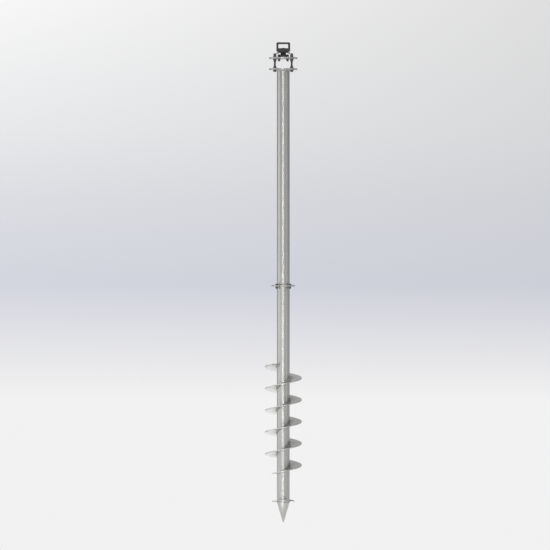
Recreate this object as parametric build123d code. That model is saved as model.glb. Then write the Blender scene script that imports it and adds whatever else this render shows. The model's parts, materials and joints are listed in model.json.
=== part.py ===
"""Foundation ground screw with a bolted-on extension post and a levelling head.

Millimetres. +Z runs up the shaft, the origin is the tip of the drive point, and the beam that the
cradle holds runs along Y. Every flight winds right-handed.
"""
import os
from math import cos, radians, sin

from build123d import *

# ---- shaft and post ----
TUBE_OD = 76.1
TUBE_WALL = 3.6
SHAFT_LENGTH = 1410.0  # tip to the plane where the two middle flanges meet
POST_LENGTH = 1295.0  # that plane to the top face of the post's head flange

# ---- drive point ----
POINT_LENGTH = 120.0
POINT_NOSE_R = 3.0
SPIGOT_LENGTH = 25.0  # turned end that locates inside the tube

# ---- main flight, made as single-turn sections ----
FLIGHT_OD = 220.0
FLIGHT_PITCH = 130.0
FLIGHT_TURNS = 5
FLIGHT_PLATE = 5.0
FLIGHT_RISE = 174.0  # from the point's base to the middle of the plate at its lowest edge
FLIGHT_START_DEG = -128.0

# ---- starter blades, just above the drive point ----
STARTER_OD = 136.0
STARTER_PITCH = 45.0
STARTER_SWEEP_DEG = 120.0
STARTER_PLATE = 5.0
STARTER_RISE = 1.5  # from the point's base to the blades' lowest corner

# ---- middle flanges ----
COUPLING_OD = 140.0
COUPLING_RIM = 5.0  # plate outside each washer
COUPLING_PLATE = 4.0
COUPLING_STANDOUT = 4.6  # thread past the nut

# ---- head flange of the post, and head plate above it ----
HEAD_OD = 170.0
HEAD_RIM = 2.0  # plate outside each washer
HEAD_PLATE = 8.0
LEVELLING_GAP = 58.0
LEVELLING_STANDOUT = 4.2
BOLT_COUNT = 4
FIRST_BOLT_DEG = 45.0
EDGE_BREAK = 0.8  # chamfer on the rims of the plates

# ---- saddle pedestal ----
FOOT_Y = 56.0
FOOT_H = 12.0
FOOT_EDGE = 0.5  # metal outside each bolt head
FOOT_CORNER = 8.0
NECK_OD = 33.0
NECK_FLARE = 5.0
SEAM_TURN = 37.0  # keeps the neck's seam clear of the seams of the holes
SADDLE_R = 90.0  # radius of the rocking face
SADDLE_X = 82.0
SADDLE_Y = 50.0
SADDLE_T = 5.5
SADDLE_TOP = 37.0  # crown of the rocking face above the head plate
PEDESTAL_STANDOUT = 4.6

# ---- beam cradle ----
CRADLE_Y = 50.0
CRADLE_H = 55.0
CRADLE_SINK = 2.0  # depth of the curved seat in the underside
CRADLE_SIDE = 12.0
CRADLE_ROOF = 9.7
CRADLE_TOP_CORNER = 8.0
CRADLE_HEEL = 7.0
SLOT_H = 25.7
SLOT_CORNER = 3.5

# ---- cradle bolt ----
DOME_OD = 30.0
DOME_H = 3.5
CRADLE_BOLT_THREAD = 17.4  # length that enters the pedestal
TAPPED_DEPTH = 20.0

# ---- fasteners ----
M12 = {"d": 12.0, "af": 18.0, "head": 7.5, "nut": 10.8, "thin": 6.0, "washer_od": 24.0, "washer": 2.5}
M10 = {"d": 10.0, "af": 16.0, "head": 6.4, "nut": 8.4, "washer_od": 20.0, "washer": 2.0}
NUT_CHAMFER = 0.9

# ---- clearances ----
WELD_GAP = 0.2  # radial, plate on tube
SPIGOT_FIT = 0.3  # radial, spigot in tube
THREAD_FIT = 0.1  # radial, nut or tapped hole on bolt
HOLE_FIT = 0.5  # radial, bolt in a drilled hole or a washer
SEAT_FIT = 0.1  # cradle on saddle
HEAD_ROOM = 0.7  # bolt head beside the neck

# ---- sizes that follow ----
TUBE_R = TUBE_OD / 2
BORE_R = TUBE_R - TUBE_WALL
JOINT_Z = SHAFT_LENGTH
FLIGHT_START_Z = POINT_LENGTH + FLIGHT_RISE
COUPLING_PCD = COUPLING_OD - M10["washer_od"] - 2 * COUPLING_RIM
HEAD_PCD = HEAD_OD - M12["washer_od"] - 2 * HEAD_RIM
POST_TOP_Z = JOINT_Z + POST_LENGTH
POST_TUBE_TOP_Z = POST_TOP_Z - HEAD_PLATE
PLATE_UNDER_Z = POST_TOP_Z + LEVELLING_GAP
PLATE_TOP_Z = PLATE_UNDER_Z + HEAD_PLATE
CROWN_Z = PLATE_TOP_Z + SADDLE_TOP
SADDLE_AXIS_Z = CROWN_Z - SADDLE_R
CRADLE_UNDER_Z = CROWN_Z - CRADLE_SINK
CRADLE_TOP_Z = CRADLE_UNDER_Z + CRADLE_H
SLOT_FLOOR_Z = CRADLE_TOP_Z - CRADLE_ROOF - SLOT_H
FOOT_BOLT_X = NECK_OD / 2 + HEAD_ROOM + M10["af"] / 2
FOOT_X = 2 * (FOOT_BOLT_X + M10["af"] / 2 + FOOT_EDGE)
SLOT_X = SADDLE_X - 2 * CRADLE_SIDE
FOOT_BOLTS = [(FOOT_BOLT_X, 0), (-FOOT_BOLT_X, 0)]
UP_FROM = (Align.CENTER, Align.CENTER, Align.MIN)
DOWN_FROM = (Align.CENTER, Align.CENTER, Align.MAX)
FLIP = Rot(180, 0, 0)

os.makedirs("parts", exist_ok=True)


def save(shape, node):
    """Writes one sub-part under the name of its node."""
    shape.label = node
    export_step(shape, f"parts/{node}.step")


def rod(radius, length, z):
    """Solid cylinder standing on a level."""
    return Pos(0, 0, z) * Cylinder(radius, length, align=UP_FROM)


def bolt_circle(pcd):
    """Centres of the bolts on a circle."""
    angles = [radians(FIRST_BOLT_DEG + 360 / BOLT_COUNT * i) for i in range(BOLT_COUNT)]
    return [(pcd / 2 * cos(a), pcd / 2 * sin(a)) for a in angles]


# ---- shaft ----
def drive_point():
    """Blunt-nosed steel cone with a spigot that locates inside the tube."""
    spigot_top = POINT_LENGTH + SPIGOT_LENGTH
    spigot_r = BORE_R - SPIGOT_FIT
    with BuildPart() as point:
        with BuildSketch(Plane.XZ):
            with BuildLine():
                nose = Line((0, 0), (0.6 * POINT_NOSE_R, 0))
                bevel = Line(nose @ 1, (POINT_NOSE_R, 0.6 * POINT_NOSE_R))
                flank = Line(bevel @ 1, (TUBE_R, POINT_LENGTH))
                shoulder = Line(flank @ 1, (spigot_r, POINT_LENGTH))
                wall = Line(shoulder @ 1, (spigot_r, spigot_top))
                end = Line(wall @ 1, (0, spigot_top))
                Line(end @ 1, (0, 0))
            make_face()
        revolve(axis=Axis.Z)
    return chamfer(point.part.edges().filter_by(GeomType.CIRCLE).sort_by(Axis.Z)[-1:], 1.0)


def tube(bottom_z, top_z):
    """Plain tube between two levels."""
    return rod(TUBE_R, top_z - bottom_z, bottom_z) - rod(BORE_R, top_z - bottom_z, bottom_z)


def helical_blade(outer_d, pitch, turns, plate, start_z, start_deg):
    """Right-handed helical plate on the tube, its two ends cut along the radius."""
    inner_r = TUBE_R + WELD_GAP
    width = outer_d / 2 - inner_r
    path = Helix(pitch=pitch, height=pitch * turns, radius=inner_r + width / 2)
    section = Plane(origin=path @ 0, x_dir=(1, 0, 0), z_dir=(0, 1, 0)) * Rectangle(width, plate)
    blade = sweep(section, path=path, is_frenet=True)
    return Pos(0, 0, start_z) * (Rot(0, 0, start_deg) * blade)


def flight_turn(number):
    """One single-turn section of the main flight, counted from the bottom."""
    z = FLIGHT_START_Z + FLIGHT_PITCH * (number - 1)
    return helical_blade(FLIGHT_OD, FLIGHT_PITCH, 1, FLIGHT_PLATE, z, FLIGHT_START_DEG)


def starter_blade(start_deg):
    """Short cutting blade just above the drive point."""
    z = POINT_LENGTH + STARTER_RISE + STARTER_PLATE / 2
    turns = STARTER_SWEEP_DEG / 360
    return helical_blade(STARTER_OD, STARTER_PITCH, turns, STARTER_PLATE, z, start_deg)


# ---- plates ----
def drilled_disc(diameter, thickness, under_z, centres, hole_r):
    """Round plate with broken edges and a hole for each bolt."""
    disc = rod(diameter / 2, thickness, 0)
    disc = chamfer(disc.edges().filter_by(GeomType.CIRCLE), EDGE_BREAK)
    for x, y in centres:
        disc -= Pos(x, y, 0) * rod(hole_r, 3 * thickness, -thickness)
    return Pos(0, 0, under_z) * disc


def coupling_flange(under_z):
    """Ring plate welded round the end of a tube."""
    centres = bolt_circle(COUPLING_PCD)
    hole_r = M10["d"] / 2 + HOLE_FIT
    ring = drilled_disc(COUPLING_OD, COUPLING_PLATE, under_z, centres, hole_r)
    return ring - rod(TUBE_R + WELD_GAP, 3 * COUPLING_PLATE, under_z - COUPLING_PLATE)


def post_head_flange():
    """Full disc that closes the top of the post."""
    hole_r = M12["d"] / 2 + HOLE_FIT
    return drilled_disc(HEAD_OD, HEAD_PLATE, POST_TUBE_TOP_Z, bolt_circle(HEAD_PCD), hole_r)


def head_plate():
    """Plate levelled on the four long bolts, drilled for the pedestal too."""
    hole_r = M12["d"] / 2 + HOLE_FIT
    plate = drilled_disc(HEAD_OD, HEAD_PLATE, PLATE_UNDER_Z, bolt_circle(HEAD_PCD), hole_r)
    for x, y in FOOT_BOLTS:
        plate -= Pos(x, y, 0) * rod(M10["d"] / 2 + HOLE_FIT, 3 * HEAD_PLATE, PLATE_UNDER_Z - HEAD_PLATE)
    return plate


# ---- pedestal and cradle ----
def rocking_cylinder(radius, length):
    """Cylinder along Y about the axis that the saddle's face is turned on."""
    return Pos(0, 0, SADDLE_AXIS_Z) * (Rot(90, 0, 0) * Cylinder(radius, length))


def neck():
    """Round neck that flares out under the saddle."""
    radius = NECK_OD / 2
    top = CROWN_Z - SADDLE_T + 1
    with BuildPart() as body:
        with BuildSketch(Plane.XZ):
            with BuildLine():
                Polyline(
                    (0, PLATE_TOP_Z),
                    (radius, PLATE_TOP_Z),
                    (radius, top - NECK_FLARE),
                    (radius + NECK_FLARE, top),
                    (0, top),
                    close=True,
                )
            make_face()
        revolve(axis=Axis.Z)
    return body.part


def saddle_pedestal():
    """Cast foot, round neck and curved saddle in one piece, tapped from the crown."""
    foot = Box(FOOT_X, FOOT_Y, FOOT_H, align=UP_FROM)
    foot = fillet(foot.edges().filter_by(Axis.Z), FOOT_CORNER)
    foot = Pos(0, 0, PLATE_TOP_Z) * foot
    shell = rocking_cylinder(SADDLE_R, SADDLE_Y) - rocking_cylinder(SADDLE_R - SADDLE_T, SADDLE_Y)
    cap = shell & (Pos(0, 0, CROWN_Z) * Box(SADDLE_X, SADDLE_Y, SADDLE_R))
    pedestal = foot + Rot(0, 0, SEAM_TURN) * neck() + cap
    for x, y in FOOT_BOLTS:
        pedestal -= Pos(x, y, 0) * rod(M10["d"] / 2 + HOLE_FIT, 3 * FOOT_H, PLATE_TOP_Z - FOOT_H)
    return pedestal - rod(M12["d"] / 2 + THREAD_FIT, TAPPED_DEPTH + 1, CROWN_Z - TAPPED_DEPTH)


def beam_cradle():
    """Closed frame that the beam passes through, seated on the saddle."""
    frame = Pos(0, 0, CRADLE_UNDER_Z) * Box(SADDLE_X, CRADLE_Y, CRADLE_H, align=UP_FROM)
    frame = fillet(frame.edges().filter_by(Axis.Y).sort_by(Axis.Z)[-2:], CRADLE_TOP_CORNER)
    frame = fillet(frame.edges().filter_by(Axis.Y).sort_by(Axis.Z)[:2], CRADLE_HEEL)
    slot = Box(SLOT_X, 2 * CRADLE_Y, SLOT_H, align=UP_FROM)
    slot = fillet(slot.edges().filter_by(Axis.Y), SLOT_CORNER)
    frame -= Pos(0, 0, SLOT_FLOOR_Z) * slot
    frame -= rocking_cylinder(SADDLE_R + SEAT_FIT, 2 * CRADLE_Y)
    drop = SLOT_FLOOR_Z - CRADLE_UNDER_Z
    return frame - rod(M12["d"] / 2 + HOLE_FIT, drop + 2, CRADLE_UNDER_Z - 1)


# ---- fasteners ----
def hexagon(af, height, both_ends=False):
    """Hexagonal prism on Z 0 with its corners turned off."""
    prism = extrude(RegularPolygon(af / 2, 6, major_radius=False, rotation=30), height)
    turned = rod(af / 3**0.5, height, 0)
    ends = turned.edges().filter_by(GeomType.CIRCLE).sort_by(Axis.Z)
    return prism & chamfer(ends if both_ends else ends[-1:], NUT_CHAMFER)


def hex_bolt(size, length):
    """Bolt with the underside of its head on Z 0 and its shank up +Z."""
    shank = rod(size["d"] / 2, length, 0)
    shank = chamfer(shank.edges().filter_by(GeomType.CIRCLE).sort_by(Axis.Z)[-1:], size["d"] / 10)
    return shank + FLIP * hexagon(size["af"], size["head"])


def hex_nut(size, kind="nut"):
    """Nut standing on Z 0."""
    height = size[kind]
    return hexagon(size["af"], height, both_ends=True) - rod(size["d"] / 2 + THREAD_FIT, 3 * height, -height)


def washer(size):
    """Flat washer standing on Z 0."""
    disc = rod(size["washer_od"] / 2, size["washer"], 0)
    return disc - rod(size["d"] / 2 + HOLE_FIT, 3 * size["washer"], -size["washer"])


def cradle_bolt():
    """Low domed bolt that clamps the cradle down on the saddle."""
    head_r = DOME_OD / 2
    ball_r = (head_r**2 + DOME_H**2) / (2 * DOME_H)
    dome = (Pos(0, 0, DOME_H - ball_r) * Sphere(ball_r)) & rod(head_r, DOME_H, 0)
    length = SLOT_FLOOR_Z - CROWN_Z + CRADLE_BOLT_THREAD
    shank = Cylinder(M12["d"] / 2, length, align=DOWN_FROM)
    shank = chamfer(shank.edges().filter_by(GeomType.CIRCLE).sort_by(Axis.Z)[:1], M12["d"] / 10)
    return Pos(0, 0, SLOT_FLOOR_Z) * (dome + shank)


def save_group(piece, centres, z, node):
    """Like pieces at one level, in one node, as separate solids."""
    save(Compound(children=[Pos(x, y, z) * piece for x, y in centres]), node)


def coupling_fasteners():
    """Bolts, heads up, through the two middle flanges."""
    centres = bolt_circle(COUPLING_PCD)
    step = M10["washer"]
    top = JOINT_Z + COUPLING_PLATE
    bottom = JOINT_Z - COUPLING_PLATE
    length = 2 * (COUPLING_PLATE + step) + M10["nut"] + COUPLING_STANDOUT
    save_group(washer(M10), centres, top, "coupling_upper_washers")
    save_group(FLIP * hex_bolt(M10, length), centres, top + step, "coupling_bolts")
    save_group(FLIP * washer(M10), centres, bottom, "coupling_lower_washers")
    save_group(FLIP * hex_nut(M10), centres, bottom - step, "coupling_nuts")


def levelling_fasteners():
    """Long bolts standing on the head flange, and the nuts that set the head plate's level."""
    centres = bolt_circle(HEAD_PCD)
    step = M12["washer"]
    stack = 2 * step + 2 * HEAD_PLATE + LEVELLING_GAP + M12["nut"] + M12["thin"]
    bolt = hex_bolt(M12, stack + LEVELLING_STANDOUT)
    save_group(bolt, centres, POST_TUBE_TOP_Z - step, "levelling_bolts")
    save_group(FLIP * washer(M12), centres, POST_TUBE_TOP_Z, "levelling_bolt_washers")
    save_group(washer(M12), centres, POST_TOP_Z, "post_clamp_washers")
    save_group(hex_nut(M12), centres, POST_TOP_Z + step, "post_clamp_nuts")
    save_group(FLIP * washer(M12), centres, PLATE_UNDER_Z, "levelling_washers")
    save_group(FLIP * hex_nut(M12), centres, PLATE_UNDER_Z - step, "levelling_nuts")
    save_group(washer(M12), centres, PLATE_TOP_Z, "plate_clamp_washers")
    save_group(hex_nut(M12), centres, PLATE_TOP_Z + step, "plate_clamp_nuts")
    save_group(hex_nut(M12, "thin"), centres, PLATE_TOP_Z + step + M12["nut"], "lock_nuts")


def pedestal_fasteners():
    """Two bolts down through the pedestal's foot and the head plate."""
    step = M10["washer"]
    length = FOOT_H + HEAD_PLATE + step + M10["nut"] + PEDESTAL_STANDOUT
    save_group(FLIP * hex_bolt(M10, length), FOOT_BOLTS, PLATE_TOP_Z + FOOT_H, "pedestal_bolts")
    save_group(FLIP * washer(M10), FOOT_BOLTS, PLATE_UNDER_Z, "pedestal_washers")
    save_group(FLIP * hex_nut(M10), FOOT_BOLTS, PLATE_UNDER_Z - step, "pedestal_nuts")


save(drive_point(), "drive_point")
save(tube(POINT_LENGTH, JOINT_Z), "shaft_tube")
for turn in range(1, FLIGHT_TURNS + 1):
    save(flight_turn(turn), f"flight_turn_{turn}")
save(starter_blade(0), "starter_blade_right")
save(starter_blade(180), "starter_blade_left")
save(coupling_flange(JOINT_Z - COUPLING_PLATE), "shaft_flange")
save(coupling_flange(JOINT_Z), "post_foot_flange")
save(tube(JOINT_Z, POST_TUBE_TOP_Z), "post_tube")
save(post_head_flange(), "post_head_flange")
save(head_plate(), "head_plate")
save(saddle_pedestal(), "saddle_pedestal")
save(beam_cradle(), "beam_cradle")
save(cradle_bolt(), "cradle_bolt")
coupling_fasteners()
levelling_fasteners()
pedestal_fasteners()
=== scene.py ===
"""Looks of the foundation ground screw: zinc, fasteners, black castings, weld beads and bolt threads."""
import json
import math

import bpy
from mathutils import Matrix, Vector


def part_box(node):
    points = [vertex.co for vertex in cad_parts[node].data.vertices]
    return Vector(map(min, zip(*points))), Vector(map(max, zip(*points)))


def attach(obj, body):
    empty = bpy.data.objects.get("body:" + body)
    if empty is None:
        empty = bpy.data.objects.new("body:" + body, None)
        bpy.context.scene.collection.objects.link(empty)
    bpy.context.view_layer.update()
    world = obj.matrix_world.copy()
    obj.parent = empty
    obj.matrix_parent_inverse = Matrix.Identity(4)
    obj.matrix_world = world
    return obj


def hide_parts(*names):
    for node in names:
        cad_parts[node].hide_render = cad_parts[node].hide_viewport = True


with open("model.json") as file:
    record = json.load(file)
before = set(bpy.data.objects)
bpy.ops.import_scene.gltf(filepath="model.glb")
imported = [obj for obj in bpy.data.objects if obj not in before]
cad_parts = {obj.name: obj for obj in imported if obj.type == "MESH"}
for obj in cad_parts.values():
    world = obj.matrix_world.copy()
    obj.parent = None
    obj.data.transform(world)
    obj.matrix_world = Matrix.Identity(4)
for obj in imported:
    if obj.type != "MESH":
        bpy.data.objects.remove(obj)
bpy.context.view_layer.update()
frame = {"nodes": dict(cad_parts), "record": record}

MM = 0.001
LOW, HIGH = 0, 1


def level(node, end):
    """Height of a node's lowest or highest point, in millimetres."""
    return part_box(node)[end].z / MM


TUBE_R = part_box("shaft_tube")[HIGH].x / MM


# ---- node helpers ----
def place(tree, kind, inputs=None, **settings):
    """Adds a node, sets its own options, and fills or links its inputs."""
    node = tree.nodes.new(kind)
    for key, value in settings.items():
        setattr(node, key, value)
    for key, value in (inputs or {}).items():
        if isinstance(value, bpy.types.NodeSocket):
            tree.links.new(value, node.inputs[key])
        else:
            node.inputs[key].default_value = value
    return node


def maths(tree, operation, a, b=None, c=None):
    """One step of arithmetic."""
    values = {i: v for i, v in enumerate((a, b, c)) if v is not None}
    return place(tree, "ShaderNodeMath", values, operation=operation).outputs[0]


def new_group(name, kind, inputs, outputs):
    """Empty node group with named sockets."""
    tree = bpy.data.node_groups.new(name, kind)
    for label, socket, default in inputs:
        made = tree.interface.new_socket(name=label, in_out="INPUT", socket_type=socket)
        if default is not None:
            made.default_value = default
    for label, socket in outputs:
        tree.interface.new_socket(name=label, in_out="OUTPUT", socket_type=socket)
    return tree, tree.nodes.new("NodeGroupInput"), tree.nodes.new("NodeGroupOutput")


# ---- shared surface effects ----
def spangle_group():
    """Crystals and soft clouding of a hot-dip zinc coat."""
    tree, source, sink = new_group(
        "zinc spangle", "ShaderNodeTree",
        [("Vector", "NodeSocketVector", None), ("Crystal Scale", "NodeSocketFloat", 70.0)],
        [("Tone", "NodeSocketFloat"), ("Height", "NodeSocketFloat")],
    )
    vector = source.outputs["Vector"]
    crystals = place(
        tree, "ShaderNodeTexVoronoi", {"Vector": vector, "Scale": source.outputs["Crystal Scale"]}
    )
    grey = place(tree, "ShaderNodeRGBToBW", {0: crystals.outputs["Color"]}).outputs[0]
    cloud = place(tree, "ShaderNodeTexNoise", {"Vector": vector, "Scale": 7.0, "Detail": 5.0}).outputs[0]
    grain = place(tree, "ShaderNodeTexNoise", {"Vector": vector, "Scale": 420.0, "Detail": 3.0}).outputs[0]
    tone = maths(tree, "MULTIPLY_ADD", grey, 0.3, maths(tree, "MULTIPLY", cloud, 0.7))
    height = maths(tree, "MULTIPLY_ADD", grain, 0.6, maths(tree, "MULTIPLY", grey, 0.4))
    tree.links.new(tone, sink.inputs["Tone"])
    tree.links.new(height, sink.inputs["Height"])
    return tree


def streak_group():
    """Faint marks along the length, from drawing, dipping and handling."""
    tree, source, sink = new_group(
        "long streaks", "ShaderNodeTree",
        [("Vector", "NodeSocketVector", None), ("Strength", "NodeSocketFloat", 0.2)],
        [("Factor", "NodeSocketFloat")],
    )
    drawn = place(tree, "ShaderNodeMapping", {"Vector": source.outputs["Vector"], "Scale": (90.0, 90.0, 2.5)})
    lines = place(tree, "ShaderNodeTexNoise", {"Vector": drawn.outputs[0], "Scale": 1.0, "Detail": 4.0})
    centred = maths(tree, "SUBTRACT", lines.outputs[0], 0.5)
    factor = maths(tree, "MULTIPLY_ADD", centred, source.outputs["Strength"], 1.0)
    tree.links.new(factor, sink.inputs["Factor"])
    return tree


def orange_peel_group():
    """Fine pebbled skin of a coated casting."""
    tree, source, sink = new_group(
        "coating skin", "ShaderNodeTree",
        [("Vector", "NodeSocketVector", None), ("Pebble Scale", "NodeSocketFloat", 700.0)],
        [("Tone", "NodeSocketFloat"), ("Height", "NodeSocketFloat")],
    )
    vector = source.outputs["Vector"]
    pebbles = place(tree, "ShaderNodeTexVoronoi", {"Vector": vector, "Scale": source.outputs["Pebble Scale"]})
    broad = place(tree, "ShaderNodeTexNoise", {"Vector": vector, "Scale": 45.0, "Detail": 4.0}).outputs[0]
    height = maths(tree, "MULTIPLY_ADD", broad, 0.5, pebbles.outputs["Distance"])
    tree.links.new(broad, sink.inputs["Tone"])
    tree.links.new(height, sink.inputs["Height"])
    return tree


SPANGLE = spangle_group()
STREAKS = streak_group()
SKIN = orange_peel_group()


def begin_material(name, metallic):
    """Material with only its shader and object coordinates."""
    material = bpy.data.materials.new(name)
    material.use_nodes = True
    tree = material.node_tree
    shader = tree.nodes["Principled BSDF"]
    shader.inputs["Metallic"].default_value = metallic
    coords = place(tree, "ShaderNodeTexCoord").outputs["Object"]
    return material, tree, shader, coords


def finish_material(tree, shader, tone, height, colours, roughness, bump, streaks=None):
    """Joins tone and height to colour, roughness and bump."""
    dark, light = [(*c, 1.0) for c in colours]
    mix = place(tree, "ShaderNodeMix", {0: tone, 6: dark, 7: light}, data_type="RGBA")
    colour = mix.outputs[2]
    if streaks is not None:
        scaled = place(tree, "ShaderNodeVectorMath", {0: colour, "Scale": streaks}, operation="SCALE")
        colour = scaled.outputs[0]
    low, high = roughness
    rough = place(tree, "ShaderNodeMapRange", {"Value": tone, "To Min": high, "To Max": low})
    relief = place(tree, "ShaderNodeBump", {"Height": height, "Strength": bump, "Distance": 0.0006})
    tree.links.new(colour, shader.inputs["Base Color"])
    tree.links.new(rough.outputs[0], shader.inputs["Roughness"])
    tree.links.new(relief.outputs[0], shader.inputs["Normal"])


def zinc(name, colours, roughness, bump, scale):
    """Zinc-coated steel, from its dark and light tones and its smoothest and roughest finish."""
    material, tree, shader, coords = begin_material(name, 0.82)
    spangle = place(tree, "ShaderNodeGroup", node_tree=SPANGLE)
    spangle.inputs["Crystal Scale"].default_value = scale
    tree.links.new(coords, spangle.inputs["Vector"])
    streaks = place(tree, "ShaderNodeGroup", node_tree=STREAKS)
    tree.links.new(coords, streaks.inputs["Vector"])
    finish_material(
        tree, shader, spangle.outputs["Tone"], spangle.outputs["Height"],
        colours, roughness, bump, streaks.outputs["Factor"],
    )
    return material


def coated_casting():
    """Black coated cast iron."""
    material, tree, shader, coords = begin_material("black casting", 0.0)
    skin = place(tree, "ShaderNodeGroup", node_tree=SKIN)
    tree.links.new(coords, skin.inputs["Vector"])
    finish_material(
        tree, shader, skin.outputs["Tone"], skin.outputs["Height"],
        ((0.022, 0.022, 0.025), (0.045, 0.045, 0.048)), (0.42, 0.6), 0.35,
    )
    return material


MATERIALS = {
    "galvanised_steel": zinc(
        "galvanised steel", colours=((0.53, 0.535, 0.515), (0.60, 0.60, 0.58)),
        roughness=(0.36, 0.39), bump=0.035, scale=70.0,
    ),
    # Very dark fastener tones: partly the bolts' own darker zinc, partly painted shade for the dark round the
    # flanges and plates.
    "fastener_steel": zinc(
        "fastener steel", colours=((0.09, 0.09, 0.09), (0.19, 0.19, 0.19)),
        roughness=(0.34, 0.5), bump=0.08, scale=400.0,
    ),
    "black_casting": coated_casting(),
    "weld": zinc(
        "weld zinc", colours=((0.36, 0.36, 0.35), (0.60, 0.60, 0.58)),
        roughness=(0.42, 0.6), bump=0.3, scale=160.0,
    ),
}
SLOT_OF = {part["node"]: part["material_slot"] for part in frame["record"]["subparts"]}
for node, solid in frame["nodes"].items():
    if not solid.material_slots:
        solid.data.materials.append(None)
    for holder in solid.material_slots:
        holder.material = MATERIALS[SLOT_OF[node]]


# ---- pieces grown by geometry nodes ----
def helix_path(tree, radius, start, turns, base_z, rise, count):
    """Points along a right-handed helix, or a ring where the rise is nothing."""
    line = place(tree, "GeometryNodeCurvePrimitiveLine")
    even = place(tree, "GeometryNodeResampleCurve", {"Curve": line.outputs[0], "Count": count})
    along = tree.nodes.new("GeometryNodeSplineParameter").outputs["Factor"]
    angle = maths(tree, "MULTIPLY_ADD", maths(tree, "MULTIPLY", along, turns), math.tau, start)
    x = maths(tree, "MULTIPLY", radius, maths(tree, "COSINE", angle))
    y = maths(tree, "MULTIPLY", radius, maths(tree, "SINE", angle))
    z = maths(tree, "MULTIPLY_ADD", along, rise, base_z)
    spot = place(tree, "ShaderNodeCombineXYZ", {0: x, 1: y, 2: z}).outputs[0]
    moved = place(tree, "GeometryNodeSetPosition", {"Geometry": even.outputs[0], "Position": spot})
    upright = place(tree, "GeometryNodeSetCurveNormal", {"Curve": moved.outputs[0]})
    return upright.outputs[0], along


def swept(tree, curve, radius, sides):
    """Closed round or faceted bar along a path."""
    profile = place(tree, "GeometryNodeCurvePrimitiveCircle", {"Resolution": sides, "Radius": 1.0})
    sized = place(tree, "GeometryNodeSetCurveRadius", {"Curve": curve, "Radius": radius})
    thickness = place(tree, "GeometryNodeInputRadius").outputs[0]
    bar = place(
        tree, "GeometryNodeCurveToMesh",
        {"Curve": sized.outputs[0], "Profile Curve": profile.outputs[0], "Scale": thickness,
         "Fill Caps": True},
    )
    return bar.outputs[0]


FLOAT, WHOLE, PAINT = "NodeSocketFloat", "NodeSocketInt", "NodeSocketMaterial"
POINTS_PER_RIPPLE = 4.0
POINTS_PER_THREAD = 20.0


def weld_tree():
    """Rippled bead laid round a tube."""
    tree, source, sink = new_group(
        "weld bead", "GeometryNodeTree",
        [("Radius", FLOAT, 0.04), ("Start", FLOAT, 0.0), ("Turns", FLOAT, 1.0), ("Base Z", FLOAT, 0.0),
         ("Rise", FLOAT, 0.0), ("Bead", FLOAT, 0.0025), ("Ripples", WHOLE, 60), ("Seed", FLOAT, 1.0),
         ("Material", PAINT, None)],
        [("Geometry", "NodeSocketGeometry")],
    )
    give = source.outputs
    count = maths(tree, "MULTIPLY", give["Ripples"], POINTS_PER_RIPPLE)
    curve, along = helix_path(
        tree, give["Radius"], give["Start"], give["Turns"], give["Base Z"], give["Rise"], count
    )
    phase = maths(tree, "MULTIPLY", maths(tree, "MULTIPLY", along, give["Ripples"]), math.tau)
    wave = maths(tree, "SINE", phase)
    drift = place(
        tree, "ShaderNodeTexNoise", {"W": give["Seed"], "Scale": 40.0}, noise_dimensions="4D"
    ).outputs[0]
    swell = maths(tree, "MULTIPLY_ADD", wave, 0.09, maths(tree, "MULTIPLY_ADD", drift, 0.5, 0.72))
    bar = swept(tree, curve, maths(tree, "MULTIPLY", swell, give["Bead"]), 8)
    smooth = place(tree, "GeometryNodeSetShadeSmooth", {"Geometry": bar})
    painted = place(
        tree, "GeometryNodeSetMaterial", {"Geometry": smooth.outputs[0], "Material": give["Material"]}
    )
    tree.links.new(painted.outputs[0], sink.inputs[0])
    return tree


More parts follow.
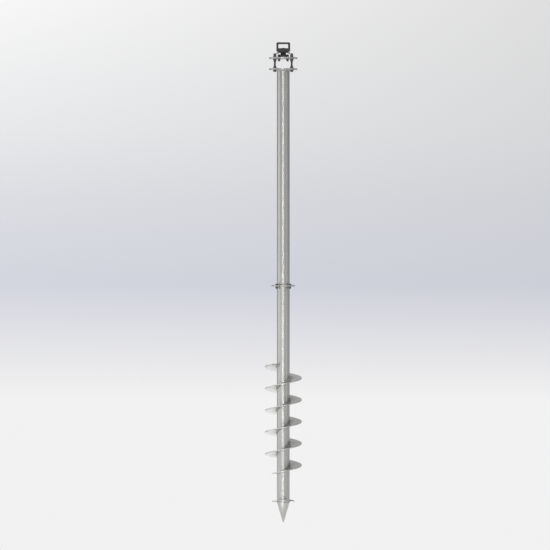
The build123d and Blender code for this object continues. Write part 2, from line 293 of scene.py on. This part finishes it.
def bolt_tree():
    """Hex-headed bolts with a cut thread, set round a circle."""
    tree, source, sink = new_group(
        "threaded bolts", "GeometryNodeTree",
        [("Root", FLOAT, 0.005), ("Ridge", FLOAT, 0.0008), ("Turns", FLOAT, 50.0), ("Length", FLOAT, 0.1),
         ("Corner", FLOAT, 0.01), ("Head", FLOAT, 0.007), ("Base Z", FLOAT, 0.0), ("Roll", FLOAT, 0.0),
         ("Circle", FLOAT, 0.07), ("Count", WHOLE, 4), ("First", FLOAT, 0.0), ("Material", PAINT, None)],
        [("Geometry", "NodeSocketGeometry")],
    )
    give = source.outputs
    edge = maths(tree, "MULTIPLY", give["Head"], 0.14)
    body = maths(tree, "SUBTRACT", give["Head"], edge)

    def stack(radius_low, radius_high, depth, base, sides):
        """Prism or cone frustum standing on a level."""
        cone = place(
            tree, "GeometryNodeMeshCone",
            {"Vertices": sides, "Radius Bottom": radius_low, "Radius Top": radius_high, "Depth": depth},
        )
        shift = place(tree, "ShaderNodeCombineXYZ", {2: base}).outputs[0]
        turn = (0.0, 0.0, math.pi / 6)
        moved = place(
            tree, "GeometryNodeTransform",
            {"Geometry": cone.outputs[0], "Translation": shift, "Rotation": turn},
        )
        return moved.outputs[0]

    small = maths(tree, "MULTIPLY", give["Corner"], 0.88)
    core = stack(give["Root"], give["Root"], give["Length"], 0.0, 24)
    cap = stack(small, give["Corner"], edge, maths(tree, "MULTIPLY", give["Head"], -1.0), 6)
    block = stack(give["Corner"], give["Corner"], body, maths(tree, "MULTIPLY", body, -1.0), 6)
    points = maths(tree, "MULTIPLY", give["Turns"], POINTS_PER_THREAD)
    safe = maths(tree, "SUBTRACT", give["Length"], maths(tree, "MULTIPLY", give["Ridge"], 2.0))
    curve, _ = helix_path(tree, give["Root"], 0.0, give["Turns"], give["Ridge"], safe, points)
    thread = swept(tree, curve, give["Ridge"], 4)
    join = tree.nodes.new("GeometryNodeJoinGeometry")
    for piece in (cap, block, core, thread):
        tree.links.new(piece, join.inputs[0])
    ring = place(
        tree, "GeometryNodeCurvePrimitiveCircle", {"Resolution": give["Count"], "Radius": give["Circle"]}
    )
    level = place(tree, "ShaderNodeCombineXYZ", {2: give["Base Z"]}).outputs[0]
    spin = place(tree, "ShaderNodeCombineXYZ", {2: give["First"]}).outputs[0]
    turned = place(
        tree, "GeometryNodeTransform", {"Geometry": ring.outputs[0], "Translation": level, "Rotation": spin}
    )
    spots = place(tree, "GeometryNodeCurveToPoints", {"Curve": turned.outputs[0]}, mode="EVALUATED")
    roll = place(tree, "ShaderNodeCombineXYZ", {0: give["Roll"]}).outputs[0]
    copies = place(
        tree, "GeometryNodeInstanceOnPoints",
        {"Points": spots.outputs[0], "Instance": join.outputs[0], "Rotation": roll},
    )
    real = place(tree, "GeometryNodeRealizeInstances", {"Geometry": copies.outputs[0]})
    painted = place(
        tree, "GeometryNodeSetMaterial", {"Geometry": real.outputs[0], "Material": give["Material"]}
    )
    tree.links.new(painted.outputs[0], sink.inputs[0])
    return tree


def signed_volume(mesh):
    """Positive where the faces point outwards."""
    mesh.calc_loop_triangles()
    corners = [[mesh.vertices[i].co for i in t.vertices] for t in mesh.loop_triangles]
    return sum(a.dot(b.cross(c)) for a, b, c in corners) / 6


def grow(name, tree, values, material):
    """Runs a geometry tree once and keeps the mesh as a piece of the object."""
    holder = bpy.data.objects.new(name, bpy.data.meshes.new(name))
    bpy.context.scene.collection.objects.link(holder)
    modifier = holder.modifiers.new("grow", "NODES")
    modifier.node_group = tree
    sockets = {s.name: s.identifier for s in tree.interface.items_tree if s.in_out == "INPUT"}
    for label, value in values.items():
        modifier[sockets[label]] = value
    modifier[sockets["Material"]] = material
    holder.update_tag()
    graph = bpy.context.evaluated_depsgraph_get()
    mesh = bpy.data.meshes.new_from_object(holder.evaluated_get(graph))
    holder.modifiers.remove(modifier)
    if signed_volume(mesh) < 0:
        mesh.flip_normals()
    mesh.name = name
    holder.data = mesh
    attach(holder, "root")
    return holder


WELD = weld_tree()
BOLTS = bolt_tree()


def weld(name, radius, base_z, bead, ripples, start=math.pi / 2, turns=1.0, rise=0.0, seed=1.0):
    """Weld bead in millimetres."""
    values = {
        "Radius": radius * MM, "Start": start, "Turns": turns, "Base Z": base_z * MM,
        "Rise": rise * MM, "Bead": bead * MM, "Ripples": ripples, "Seed": seed,
    }
    grow(name, WELD, values, MATERIALS["weld"])


BEAD_STANDOFF = 0.9  # from the tube's surface to the middle of a bead
FLANGE_STANDOFF = 1.2  # from a flange's face to the middle of its bead
ROOT_R = TUBE_R + BEAD_STANDOFF
RING_RIPPLES = 70
weld(
    "weld_point", TUBE_R - BEAD_STANDOFF, level("shaft_tube", LOW),
    bead=1.9, ripples=RING_RIPPLES, seed=1.0,
)
weld(
    "weld_shaft_flange", ROOT_R, level("shaft_flange", LOW) - FLANGE_STANDOFF,
    bead=2.6, ripples=RING_RIPPLES, seed=2.0,
)
weld(
    "weld_post_foot", ROOT_R, level("post_foot_flange", HIGH) + FLANGE_STANDOFF,
    bead=2.6, ripples=RING_RIPPLES, seed=3.0,
)
weld(
    "weld_post_head", ROOT_R, level("post_head_flange", LOW) - FLANGE_STANDOFF,
    bead=2.8, ripples=RING_RIPPLES, seed=4.0,
)

PLATE = 5.0  # thickness of the flight and the starter blades
FLIGHT_TURNS = 5.0
FLIGHT_START = math.radians(-128.0)
FLIGHT_BASE = level("flight_turn_1", LOW) + PLATE / 2
FLIGHT_RISE = level("flight_turn_5", HIGH) - PLATE / 2 - FLIGHT_BASE
FLIGHT_FACE = PLATE / 2 + BEAD_STANDOFF  # from the plate's middle to the middle of its bead
STARTER_TURNS = 1 / 3
STARTER_BASE = level("starter_blade_right", LOW) + PLATE / 2
STARTER_RISE = level("starter_blade_right", HIGH) - PLATE / 2 - STARTER_BASE
STARTER_FACE = PLATE / 2 + 0.8  # a little nearer, for the thinner bead
for side, label in ((1, "upper"), (-1, "lower")):
    weld(
        f"weld_flight_{label}", ROOT_R, FLIGHT_BASE + side * FLIGHT_FACE,
        bead=2.5, ripples=340, start=FLIGHT_START, turns=FLIGHT_TURNS, rise=FLIGHT_RISE, seed=5.0 + side,
    )
    for number, angle in enumerate((0.0, math.pi)):
        weld(
            f"weld_starter_{label}_{number + 1}", ROOT_R, STARTER_BASE + side * STARTER_FACE,
            bead=2.2, ripples=26, start=angle, turns=STARTER_TURNS, rise=STARTER_RISE,
            seed=8.0 + side + 2 * number,
        )


BOLT_COUNT = 4
FIRST_BOLT = math.pi / 4
HEAD_DOWN, HEAD_UP = 0.0, math.pi


def bolts(node, seat, size, flats, pitch, circle, roll):
    """Threaded bolts on a circle of a given radius, standing for a node, heads against a seat."""
    below, above = seat - level(node, LOW), level(node, HIGH) - seat
    head, length = (below, above) if roll == HEAD_DOWN else (above, below)
    ridge = pitch / 2
    values = {
        "Root": (size / 2 - ridge) * MM, "Ridge": ridge * MM, "Turns": (length - 2 * ridge) / pitch,
        "Length": length * MM, "Corner": flats / math.sqrt(3) * MM, "Head": head * MM,
        "Base Z": seat * MM, "Roll": roll, "Circle": circle * MM,
        "Count": BOLT_COUNT, "First": FIRST_BOLT,
    }
    piece = grow(f"{node}_threaded", BOLTS, values, MATERIALS["fastener_steel"])
    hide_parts(node)


bolts(
    "levelling_bolts", level("levelling_bolt_washers", LOW),
    size=12.0, flats=18.0, pitch=1.75, circle=71.0, roll=HEAD_DOWN,
)
bolts(
    "coupling_bolts", level("coupling_upper_washers", HIGH),
    size=10.0, flats=16.0, pitch=1.5, circle=55.0, roll=HEAD_UP,
)


# ---- studio ----
def emitter(name, spot, aim, size, energy):
    """Soft rectangular light, unseen by the camera."""
    light = bpy.data.lights.new(name, "AREA")
    light.shape = "RECTANGLE"
    light.size, light.size_y = size
    light.energy = energy
    holder = bpy.data.objects.new(name, light)
    bpy.context.scene.collection.objects.link(holder)
    holder.location = spot
    direction = Vector(aim) - Vector(spot)
    holder.rotation_euler = direction.to_track_quat("-Z", "Y").to_euler()
    holder.visible_camera = False


emitter("key panel", (-0.42, -5.0, 1.6), (0, 0, 1.5), (0.5, 4.6), 55)
emitter("left panel", (-4.6, -0.3, 1.6), (0, 0, 1.4), (4.2, 4.6), 46)
emitter("right panel", (4.4, -2.6, 1.6), (0, 0, 1.4), (1.6, 4.6), 12)
emitter("floor reflector", (-1.6, -2.8, 0.03), (0, 0, 0.9), (3.0, 2.4), 18)
emitter("rear floor panel", (-0.35, 1.3, 0.03), (-0.35, 1.3, 1.0), (0.9, 1.8), 3.2)
emitter("floor strip", (-0.08, -0.9, 0.02), (-0.08, -0.9, 1.0), (0.14, 1.5), 1.8)
emitter("top panel", (0.4, -1.0, 5.2), (0, 0, 1.4), (3.0, 3.0), 60)
emitter("back panel", (0.9, 4.6, 3.6), (0, 0, 0.7), (3.6, 2.4), 16)


def neutral(value):
    """Opaque neutral colour."""
    return (value, value, value, 1.0)


def paper_material():
    """Even pale sheet, lit as a matt surface where it isn't seen or mirrored."""
    paper = bpy.data.materials.new("studio floor")
    paper.use_nodes = True
    tree = paper.node_tree
    tree.nodes.clear()
    glow = place(tree, "ShaderNodeEmission", {"Color": neutral(0.885)})
    matt = place(tree, "ShaderNodeBsdfDiffuse", {"Color": neutral(0.8)})
    path = tree.nodes.new("ShaderNodeLightPath")
    direct = maths(tree, "MAXIMUM", path.outputs["Is Camera Ray"], path.outputs["Is Glossy Ray"])
    both = place(tree, "ShaderNodeMixShader", {0: direct, 1: matt.outputs[0], 2: glow.outputs[0]})
    place(tree, "ShaderNodeOutputMaterial", {0: both.outputs[0]})
    return paper


def studio_floor():
    """Flat floor that runs far behind the object."""
    mesh = bpy.data.meshes.new("floor")
    mesh.from_pydata([(-30, -25, 0), (30, -25, 0), (30, 29, 0), (-30, 29, 0)], [], [(0, 1, 2, 3)])
    mesh.materials.append(paper_material())
    floor = bpy.data.objects.new("floor", mesh)
    bpy.context.scene.collection.objects.link(floor)


FADE_BOTTOM, FADE_TOP = -0.025, 0.0547  # rise of the sight line where the backdrop's fade starts and ends
VIEW_EDGE = 0.055  # sideways share of the sight line at the edge of the camera's view
SIDE_FALL = 2.2  # how fast the backdrop darkens towards the right
FADE = ((0.10, (0.80, 0.80, 0.82)), (0.29, (0.63, 0.64, 0.71)),
        (0.5, (0.675, 0.685, 0.72)), (0.675, (0.745, 0.75, 0.765)))


def backdrop(tree):
    """Pale backdrop that fades upwards and darkens a little to the right."""
    sight = place(tree, "ShaderNodeTexCoord").outputs["Generated"]
    lift = place(tree, "ShaderNodeSeparateXYZ", {0: sight})
    share = place(
        tree, "ShaderNodeMapRange",
        {"Value": lift.outputs["Z"], "From Min": FADE_BOTTOM, "From Max": FADE_TOP},
    ).outputs[0]
    ramp = place(tree, "ShaderNodeValToRGB", {0: share})
    stops = ramp.color_ramp.elements
    stops[0].color = neutral(0.887)
    stops[1].color = neutral(0.835)
    for position, colour in FADE:
        stops.new(position).color = (*colour, 1.0)
    aside = maths(tree, "MINIMUM", maths(tree, "MAXIMUM", lift.outputs["X"], -VIEW_EDGE), VIEW_EDGE)
    across = maths(tree, "MULTIPLY", maths(tree, "MULTIPLY", aside, share), SIDE_FALL)
    kept = maths(tree, "SUBTRACT", 1.0, across)
    fall = place(tree, "ShaderNodeVectorMath", {0: ramp.outputs[0], "Scale": kept}, operation="SCALE")
    return place(tree, "ShaderNodeBackground", {"Color": fall.outputs[0]})


def studio_world():
    """Backdrop for the camera, and a dim even room for everything else."""
    world = bpy.data.worlds.new("studio")
    bpy.context.scene.world = world
    world.use_nodes = True
    tree = world.node_tree
    tree.nodes.clear()
    seen = backdrop(tree)
    room = place(tree, "ShaderNodeBackground", {"Color": (0.34, 0.34, 0.35, 1.0), "Strength": 0.55})
    path = tree.nodes.new("ShaderNodeLightPath")
    both = place(
        tree, "ShaderNodeMixShader",
        {0: path.outputs["Is Camera Ray"], 1: room.outputs[0], 2: seen.outputs[0]},
    )
    place(tree, "ShaderNodeOutputWorld", {0: both.outputs[0]})


def level_camera():
    """Level camera, far off, with a long lens."""
    lens = bpy.data.cameras.new("camera")
    lens.sensor_width = 36.0
    lens.lens = 329.3
    lens.clip_end = 400.0
    camera = bpy.data.objects.new("camera", lens)
    bpy.context.scene.collection.objects.link(camera)
    camera.location = (-0.0494, -30.0, 1.4743)
    camera.rotation_euler = (math.pi / 2, 0, 0)
    bpy.context.scene.camera = camera


studio_floor()
studio_world()
level_camera()
bpy.context.scene.view_settings.view_transform = "Standard"
